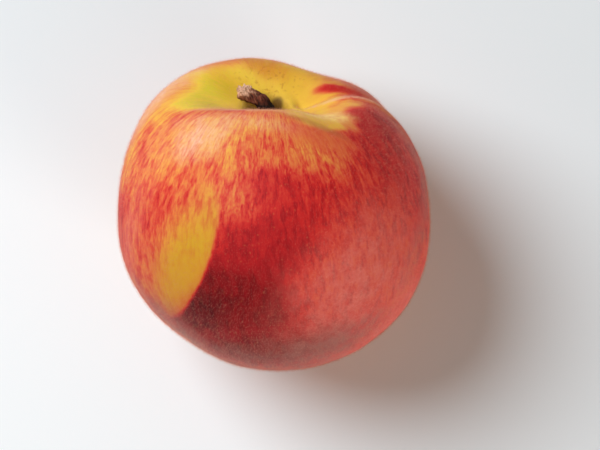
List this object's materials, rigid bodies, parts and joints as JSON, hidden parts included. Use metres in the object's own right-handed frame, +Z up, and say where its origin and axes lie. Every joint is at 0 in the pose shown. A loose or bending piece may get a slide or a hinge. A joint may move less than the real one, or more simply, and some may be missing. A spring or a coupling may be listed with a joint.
{
  "type": "peach",
  "caption": "Ripe peach lying on one cheek, with a suture crease, a blossom point and the woody stub of its stem in the cavity.",
  "frame": {"origin": "middle of the small flat spot that the peach rests on, under its centre of mass", "axes": "+Z up from the surface it lies on; +Y the way its stem end points along the surface; +X to the suture's side"},
  "size_m": [0.0708, 0.0708, 0.0719],
  "materials": {
    "skin": "velvety skin with fine pale fuzz: deep red blush with streaks over golden yellow",
    "stem_wood": "dry, rough, dark brown, paler at its broken end"
  },
  "bodies": {
    "root": {"fruit": "skin", "stem_stub": "stem_wood"}
  },
  "joints": []
}
